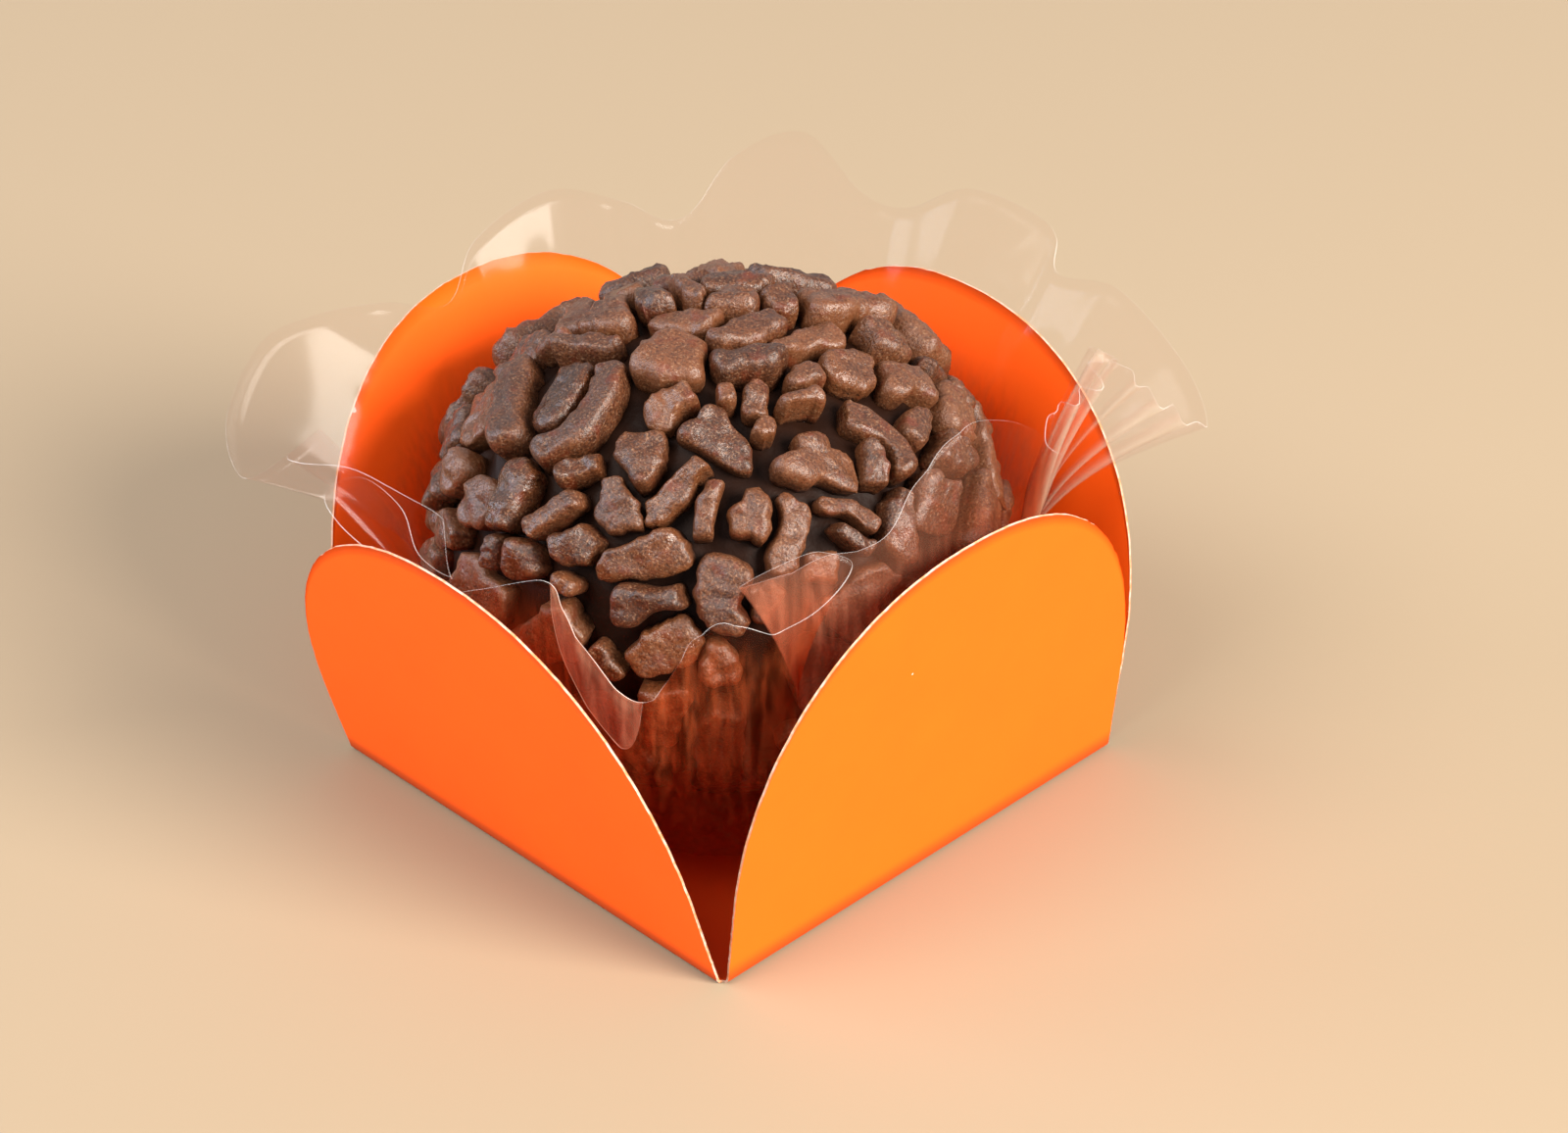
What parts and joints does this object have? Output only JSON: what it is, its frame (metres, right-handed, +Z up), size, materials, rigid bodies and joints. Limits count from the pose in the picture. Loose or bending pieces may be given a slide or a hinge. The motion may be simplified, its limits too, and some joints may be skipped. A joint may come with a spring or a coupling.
{
  "type": "brigadeiro sweet in card case",
  "caption": "Chocolate fudge ball covered in chocolate flakes, in a ruffled clear film liner and an orange folded card case with rounded petals.",
  "frame": {"origin": "centre of the card base's underside", "axes": "+Z up, out of the case; X and Y along the base's sides"},
  "size_m": [0.043, 0.0438, 0.0299],
  "materials": {
    "chocolate": "satin, with glossy spots",
    "clear_film": "clear gloss",
    "orange_card": "matt"
  },
  "bodies": {
    "root": {"brigadeiro": "chocolate", "film_liner": "clear_film", "card_case": "orange_card"}
  },
  "joints": []
}
